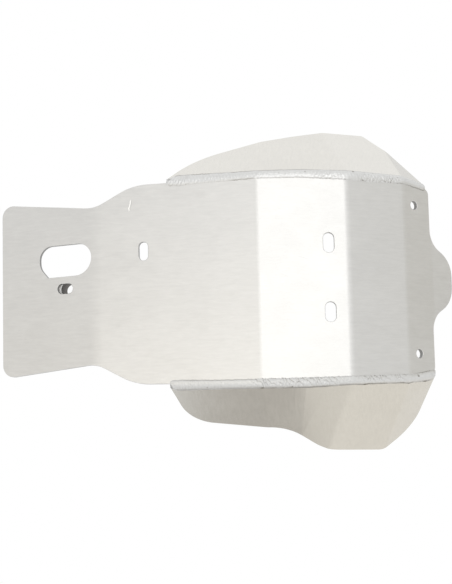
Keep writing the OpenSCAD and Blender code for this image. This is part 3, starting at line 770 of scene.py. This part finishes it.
def weld_metal(name, look):
    """Weld metal: a pale satin crown with fine grain, thin broken lines of soot and painted shade at the toes,
    painted shade in the grooves between ripples, and small pits.
    """
    p = Paint(name)
    groove, toe = (p.node("Attribute", out="Fac", setting={"attribute_name": key}) for key in ("groove", "toe"))
    grain = p.noise(p.place(650), 3.0, 0.6)
    soot = p.noise(p.place(110), 4.0, 0.65)
    patch = p.noise(p.place(45), 3.0, 0.6)
    lumps = p.noise(p.place(330), roughness=0.5)
    toe = toe * patch.ramp(0.34, 0.52, 0.45, 1.0)
    pit = p.noise(p.place(210), 1.0, 0.4).ramp(0.73, 0.8)
    # Darker towards the soot colour: soot and painted shade at the toes, painted shade in the grooves, dark patches
    # and pits.
    dark = (toe + groove * 0.85 + soot.ramp(0.56, 0.8) * 0.14 + pit * 0.6).least(1.0)
    colour = p.mix(dark, p.tint(look.weld_colour, 0.94 + patch * 0.12), look.soot_and_shade_colour)
    rough = (0.43 + toe * 0.2 + (grain - 0.5) * 0.2).most(0.1)
    height = grain * 0.5 + soot * 0.5 + lumps * 1.5 - pit * 0.8 - groove * 1.6
    return p.metal(colour, rough, p.bump(height, 0.00014, 0.8))


def turned_metal(name, colour):
    """Turned tube: rings round its axis."""
    p = Paint(name)
    rings = p.noise(p.place(30, 30, 2600))
    return p.metal(p.tint(colour, 0.9 + rings * 0.2), 0.24 + rings * 0.15, p.bump(rings, 0.00003, 0.5))


def bore_metal(name, look):
    """Drawn bore: dull, and dark with painted shade inside the tube, with lines along it."""
    p = Paint(name)
    lines = p.noise(p.place(900, 900, 60))
    return p.metal(p.tint(look.bore_shade_colour, 0.85 + lines * 0.3), 0.55 + lines * 0.2, p.bump(lines, 0.00005, 0.5))


# ---- settings
def measure(name, description, default, low, high):
    """A plain number that a user may change."""
    return FloatProperty(name=name, description=description, default=default, min=low, max=high)


def tone(name, description, *rgb):
    """A colour that a user may change."""
    return FloatVectorProperty(name=name, description=description, subtype="COLOR", default=rgb, min=0, max=1)


class SkidPlateSizes(bpy.types.PropertyGroup):
    """Sizes of the trim that the looks add"""
    chamfer: measure("Edge chamfer", "Width of the broken edges, in mm", 0.35, 0.1, 1.0)
    bead_width: measure("Bead width", "Width of the beads against the measured one", 1.0, 0.5, 1.2)
    bead_bulge: measure("Bead bulge", "Height of a bead over the seam's corner, in mm", 0.55, 0.2, 1.0)
    ripple_pitch: measure("Ripple pitch", "Distance between ripples, in mm", 4.8, 2.0, 6.0)
    ripple_height: measure("Ripple height", "Height of a ripple, in mm", 0.9, 0.0, 0.9)


class SkidPlateLook(bpy.types.PropertyGroup):
    """Colours and finishes"""
    sheet_colour: tone("Sheet", "Colour of the rolled sheet", 0.63, 0.626, 0.612)
    edge_colour: tone("Cut edge", "Colour of cut edges and of the turned tube", 0.46, 0.455, 0.445)
    weld_colour: tone("Weld", "Colour of the weld metal", 0.66, 0.66, 0.65)
    # The soot colour also paints the shade at the weld's toes and in the grooves between ripples.
    soot_and_shade_colour: tone("Soot and shade", "Colour of the toes of the weld", 0.17, 0.15, 0.12)
    # The bore's colour, about half the tube's, is painted shade inside the bore.
    bore_shade_colour: tone("Bore", "Colour of the tube's bore", 0.24, 0.23, 0.22)
    # The faced end's colour is the turned tube's made twice as bright: a painted highlight on the end and on its
    # chamfer into the bore.
    faced_end_highlight_colour: tone("Faced end", "Colour of the tube's faced end", 0.92, 0.92, 0.91)
    sheet_roughness: measure("Sheet roughness", "Roughness of the sheet", 0.4, 0.1, 0.9)
    streaks: measure("Rolling lines", "Contrast of the rolling lines", 0.16, 0.0, 1.0)
    haze: measure("Haze", "Contrast of the cloudy haze", 0.08, 0.0, 1.0)


# ---- operators
def settings(context):
    """The sizes and the look that the panel shows."""
    return context.scene.skid_plate_sizes, context.scene.skid_plate_look


def add_object(name, data):
    """A new object with that mesh, lamp or camera, linked to the scene."""
    thing = bpy.data.objects.new(name, data)
    bpy.context.scene.collection.objects.link(thing)
    return thing


def add_piece(mesh, materials, replaced):
    """Links a finished mesh as a piece that stands for a CAD node and rides with the part's one body."""
    piece = add_object(mesh.name, mesh)
    for material in materials:
        mesh.materials.append(material)
    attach(piece, "root")
    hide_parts(replaced)


def smooth_mesh(name, points, faces, angle):
    """A mesh from points in mm, shaded smooth except over edges sharper than the angle."""
    mesh = bpy.data.meshes.new(name)
    mesh.from_pydata(points * MM, [], [tuple(f) for f in faces])
    mesh.polygons.foreach_set("use_smooth", np.ones(len(mesh.polygons), bool))
    mesh.set_sharp_from_angle(angle=math.radians(angle))
    return mesh


class SKIDPLATE_OT_plate(bpy.types.Operator):
    """Builds the folded main plate"""
    bl_idname = "skidplate.plate"
    bl_label = "Main plate"

    def execute(self, context):
        sizes, look = settings(context)
        fold_s = RUN[1:-1]
        lines = np.column_stack([fold_s, 0 * fold_s, 0 * fold_s, 0 * fold_s + 1])
        mesh = cut_sheet(
            "belly_plate", plate_outline(), plate_holes(), lines,
            lambda q, line, depth: on_plate(q[:, 0], q[:, 1], depth), lambda q, line: plate_normal(q[:, 0]),
            sizes.chamfer)
        scratch, rub = at_panel(TAIL_FOOT, 0, 37.1), at_panel(RAMP_FOOT, RAMP_RISE, 44)
        smudge = at_panel(TAIL_FOOT, 0, 110)
        # A scratch: a bright stripe that is its painted highlight, and beside it a dark stripe that is its painted
        # shade; then a rub on the ramp and a smudge.
        marks = [[scratch, -80.5, 6.6, 0.8, -0.173, 0.5], [scratch + 1.1, -80.5, 5.5, 0.7, -0.173, -0.14],
                 [rub, -20, 1.6, 1.5, 3.06, -0.1], [smudge, -88.3, 5, 8, 0.5, -0.035]]
        sheet = sheet_metal("plate sheet", look, 1.0, (1, 1, 1), marks=marks)
        # The hole walls are the cut edge at 0.72 of its colour: painted shade inside the holes.
        add_piece(mesh, [sheet, cut_edge("plate edge", look), rubbed_edge("plate corner", look),
                         cut_edge("hole wall", look, 0.72)], "main_plate")
        return {"FINISHED"}


class SKIDPLATE_OT_wings(bpy.types.Operator):
    """Builds the two folded side wings"""
    bl_idname = "skidplate.wings"
    bl_label = "Side wings"

    def execute(self, context):
        sizes, look = settings(context)
        finishes = [sheet_metal("wing sheet", look, 7.0, (1.0, 0.985, 0.95), -0.18, (430, 75), 0.7),
                    cut_edge("wing edge", look), rubbed_edge("wing corner", look)]
        for side in TOE_IN:
            mirror = side == "right"
            place, normal = on_wing(mirror)
            mesh = cut_sheet(
                f"side_wing_{side}", wing_blank(side), [], WING_LINES, place, normal, sizes.chamfer, mirror)
            add_piece(mesh, finishes, f"{side}_wing")
        return {"FINISHED"}


class SKIDPLATE_OT_welds(bpy.types.Operator):
    """Builds the rippled weld beads along both seams"""
    bl_idname = "skidplate.welds"
    bl_label = "Weld beads"

    def execute(self, context):
        sizes, look = settings(context)
        metal = weld_metal("weld metal", look)
        for side in TOE_IN:
            (points, faces), marks = bead_surface(sizes, side)
            mesh = smooth_mesh(f"seam_bead_{side}", points, faces, 50)
            for key, mark in marks.items():
                mesh.attributes.new(key, "FLOAT", "POINT").data.foreach_set("value", mark.ravel().astype(np.float32))
            add_piece(mesh, [metal], f"{side}_weld")
        return {"FINISHED"}


class SKIDPLATE_OT_spacer(bpy.types.Operator):
    """Builds the rear spacer tube and its fillet weld"""
    bl_idname = "skidplate.spacer"
    bl_label = "Rear spacer"

    def execute(self, context):
        _, look = settings(context)
        c, r, b, h = TUBE_CHAMFER, SPACER_R, SPACER_BORE_R, SPACER_LEN
        profile = [[b + c, 0], [r, 0], [r, h - c], [r - c, h], [b + c, h], [b, h - c], [b, c]]
        points, faces = turned_surface(profile, TUBE_STEPS)
        mesh = smooth_mesh("spacer_tube", on_tail(points), faces, 30)
        # Bands 0 and 6, the end against the plate and its chamfer into the bore, get the faced end's painted
        # highlight.
        finish = [2, 0, 0, 0, 0, 1, 2]  # of the band that starts at each point of the profile
        mesh.polygons.foreach_set("material_index", np.tile(finish, TUBE_STEPS))
        add_piece(mesh, [turned_metal("turned tube", look.edge_colour), bore_metal("tube bore", look),
                         turned_metal("faced end", look.faced_end_highlight_colour)], "rear_spacer")
        q = np.linspace(0, 1, 9)
        inner = r + BEAD_GAP
        arc = np.column_stack([inner + 2 * (1 - q) ** 0.8, BEAD_GAP + 2 * q ** 0.8])

        def ripple(a, radius, height):
            """The radius outside the bead's inner wall, times 1 plus an uneven wave of 17 round the tube."""
            swell = 1 + 0.1 * np.sin(17 * a + 2 * np.sin(3 * a)) * (radius > inner + 0.05)
            return inner + (radius - inner) * swell, height

        points, faces = turned_surface(np.vstack([[inner, BEAD_GAP], arc]), FILLET_STEPS, ripple)
        mesh = smooth_mesh("spacer_bead", on_tail(points), faces, 50)
        add_piece(mesh, [weld_metal("spacer weld metal", look)], "spacer_weld")
        return {"FINISHED"}


# ---- studio
# The camera's place, in metres, and its right, up and backward axes as columns
CAMERA_AT = (0.28497, 0.18774, -1.40094)
CAMERA_AXES = ((0.98543054, 0.04383132, 0.1643334), (0.02360525, -0.99211725, 0.12306975),
               (0.16843231, -0.11739756, -0.97869728))
SENSOR_MM, LENS_MM = 36.0, 88.4
ROOM_LIGHT = 0.7
FLOOR_GAP, FLOOR_R, FLOOR_FADE = 0.0005, 6.0, (0.35, 1.1)


def facing(way, upright):
    """Right, up and backward axes of a thing whose back points that way."""
    z = unit(way)
    x = unit(np.cross(upright, z))
    return x, np.cross(z, x), z


def add_lamp(name, at, aim, size, watts, lit, colour=(1, 1, 1)):
    """A soft rectangular lamp that faces the point it aims at. Where pieces are named, it lights those alone, and a
    lamp that lights only the floor isn't mirrored in the metal."""
    data = bpy.data.lights.new(name, "AREA")
    data.shape, data.size, data.size_y, data.energy = "RECTANGLE", size[0], size[1], watts
    data.color = colour
    lamp = add_object(name, data)
    axes = facing(np.array(at) - np.array(aim), [0.0, 1.0, 0.01])
    lamp.matrix_world = Matrix([*np.column_stack([*axes, at]), (0, 0, 0, 1)])
    lamp.visible_camera = False
    lamp.visible_glossy = lit != "floor"
    if lit not in ("all", "floor"):
        lamp.light_linking.receiver_collection = bpy.data.collections.new(name)
        for piece in lit.split():
            lamp.light_linking.receiver_collection.objects.link(bpy.data.objects[piece])


def add_card(name, at, way, size, shade):
    """A flat pale card, seen only in the metal's reflections."""
    x, y, _ = facing(way, [0.0, 0.01, 1.0])
    corners = np.array([[-1, -1], [1, -1], [1, 1], [-1, 1]]) / 2 * size
    mesh = bpy.data.meshes.new(name)
    mesh.from_pydata(np.array(at) + corners[:, :1] * x + corners[:, 1:] * y, [], [(0, 1, 2, 3)])
    p = Paint(name)
    p.node("OutputMaterial", p.node("Emission", (*shade, 1), 1.0))
    mesh.materials.append(p.owner)
    card = add_object(name, mesh)
    card.visible_camera = card.visible_shadow = False


def add_floor(height):
    """A pale round floor that catches the plate's shadow and fades into the white room 1 m out. It shows from above
    alone, so the lamps under it still light the plate's underside."""
    a = np.linspace(0, 2 * np.pi, 96, endpoint=False)
    mesh = bpy.data.meshes.new("floor")
    rim = np.column_stack([FLOOR_R * np.cos(a), FLOOR_R * np.sin(a), 0 * a + height])
    mesh.from_pydata(rim, [], [tuple(range(len(a)))])
    p = Paint("floor")
    at = p.place(1, 1, 0)
    far = p.node("VectorMath", at, out="Value", setting={"operation": "LENGTH"}).ramp(*FLOOR_FADE)
    pale = p.node("BsdfDiffuse", (0.84, 0.84, 0.835, 1))
    white = p.node("Emission", (1, 1, 1, 1), 1.0)
    surface = p.node("MixShader", far, pale, white)
    seen = p.node("LightPath", out="Is Camera Ray") * (1 - p.node("NewGeometry", out="Backfacing"))
    clear = p.node("BsdfTransparent")
    p.node("OutputMaterial", p.node("MixShader", seen, clear, surface))
    mesh.materials.append(p.owner)
    floor = add_object("floor", mesh)
    floor.visible_shadow = floor.visible_glossy = floor.visible_diffuse = False


def white_world():
    """A world that is white to the camera and in reflections, and lights the plate at a lower strength."""
    p = Paint("studio white", "worlds")
    camera, through, mirrored = (
        p.node("LightPath", out=f"Is {kind} Ray") for kind in ("Camera", "Transmission", "Glossy"))
    room, white = (p.node("Background", (1, 1, 1, 1), strength) for strength in (ROOM_LIGHT, 1.0))
    surface = p.node("MixShader", camera.most(through).most(mirrored), room, white)
    p.node("OutputWorld", surface)
    return p.owner


# Each [name, place, point aimed at, size, watts, pieces that it lights, colour], in metres
LAMPS = (
    ("belly box", (-0.04, 0.05, -1.05), (-0.04, 0.05, 0.0), (0.28, 0.9), 0.26, "all"),
    ("ramp box", (0.63, -0.26, -1.80), (0.13, 0.0, 0.01), (0.55, 1.2), 3.4, "belly_plate seam_bead_right"),
    ("left box", (-0.09, 0.42, -1.05), (-0.09, 0.42, 0.0), (0.36, 0.45), 1.65, "belly_plate", (1, 0.955, 0.87)),
    ("left seam box", (0.08, 0.42, -1.05), (0.08, 0.42, 0.0), (0.6, 0.45), 0.8, "seam_bead_left"),
    ("seam box", (-0.02, -0.9, -0.5), (0.1, -0.1, 0.0), (1.0, 0.45), 0.15, "seam_bead_right"),
    ("ramp seam box", (0.55, -1.1, -1.2), (0.13, -0.1, 0.0), (0.45, 0.8), 1.5, "seam_bead_right"),
    ("right box", (0.08, -1.05, 0.42), (0.1, -0.13, 0.05), (1.1, 0.8), 0.6, "all"),
    ("top box", (-0.5, -0.5, 1.3), (0.0, 0.0, 0.0), (0.6, 0.6), 12.0, "floor"),
)
# Each [name, place, direction faced, size, shade], in metres
CARDS = (
    ("left front card", (0.66, 0.85, 0.50), (0, -1, 0), (0.70, 1.0), (1.03, 0.995, 0.935)),
    ("left middle card", (0.245, 0.85, 0.15), (0, -1, 0), (0.13, 0.7), (0.98, 0.946, 0.889)),
    ("left rear card", (0.01, 0.85, 0.05), (0, -1, 0), (0.34, 0.9), (0.635, 0.612, 0.577)),
    ("riser card", (0.85, -0.1, -0.38), (-1, 0.1, 0), (0.45, 0.9), (1.0, 1.0, 0.99)),
    ("nose card", (0.85, -0.1, 0.12), (-1, 0.1, 0), (0.48, 0.9), (0.79, 0.772, 0.725)),
    ("warm card", (-0.5, 0.3, -1.12), (0, 0, 1), (1.5, 0.9), (1.0, 0.965, 0.905)),
)


class SKIDPLATE_OT_studio(bpy.types.Operator):
    """Sets up the floor, the lamps, the world and the camera"""
    bl_idname = "skidplate.studio"
    bl_label = "Studio"

    def execute(self, context):
        scene = context.scene
        scene.view_settings.view_transform = "Standard"
        scene.world = white_world()
        for lamp in LAMPS:
            add_lamp(*lamp)
        for card in CARDS:
            add_card(*card)
        add_floor(CAD_BOX[0][2] - FLOOR_GAP)
        data = bpy.data.cameras.new("camera")
        data.sensor_width, data.lens, data.clip_end = SENSOR_MM, LENS_MM, 20
        scene.camera = add_object("camera", data)
        scene.camera.matrix_world = Matrix([(*row, at) for row, at in zip(CAMERA_AXES, CAMERA_AT)] + [(0, 0, 0, 1)])
        return {"FINISHED"}


class SKIDPLATE_PT_panel(bpy.types.Panel):
    """Lists the steps and the settings"""
    bl_idname = "SKIDPLATE_PT_panel"
    bl_label = "Skid Plate"
    bl_space_type = "VIEW_3D"
    bl_region_type = "UI"
    bl_category = "Skid Plate"

    def draw(self, context):
        for step in STEPS:
            self.layout.operator(step.bl_idname)
        for group in settings(context):
            for key in group.__annotations__:
                self.layout.prop(group, key)


STEPS = (SKIDPLATE_OT_plate, SKIDPLATE_OT_wings, SKIDPLATE_OT_welds, SKIDPLATE_OT_spacer, SKIDPLATE_OT_studio)
CLASSES = (SkidPlateSizes, SkidPlateLook, *STEPS, SKIDPLATE_PT_panel)


def register():
    """Registers the classes and hangs the settings on the scene."""
    for cls in CLASSES:
        bpy.utils.register_class(cls)
    bpy.types.Scene.skid_plate_sizes = PointerProperty(type=SkidPlateSizes)
    bpy.types.Scene.skid_plate_look = PointerProperty(type=SkidPlateLook)


def unregister():
    """Takes off the settings and the classes."""
    del bpy.types.Scene.skid_plate_look, bpy.types.Scene.skid_plate_sizes
    for cls in reversed(CLASSES):
        bpy.utils.unregister_class(cls)


def main():
    register()
    bpy.ops.skidplate.plate()
    bpy.ops.skidplate.wings()
    bpy.ops.skidplate.welds()
    bpy.ops.skidplate.spacer()
    bpy.ops.skidplate.studio()


if __name__ == "__main__":
    main()
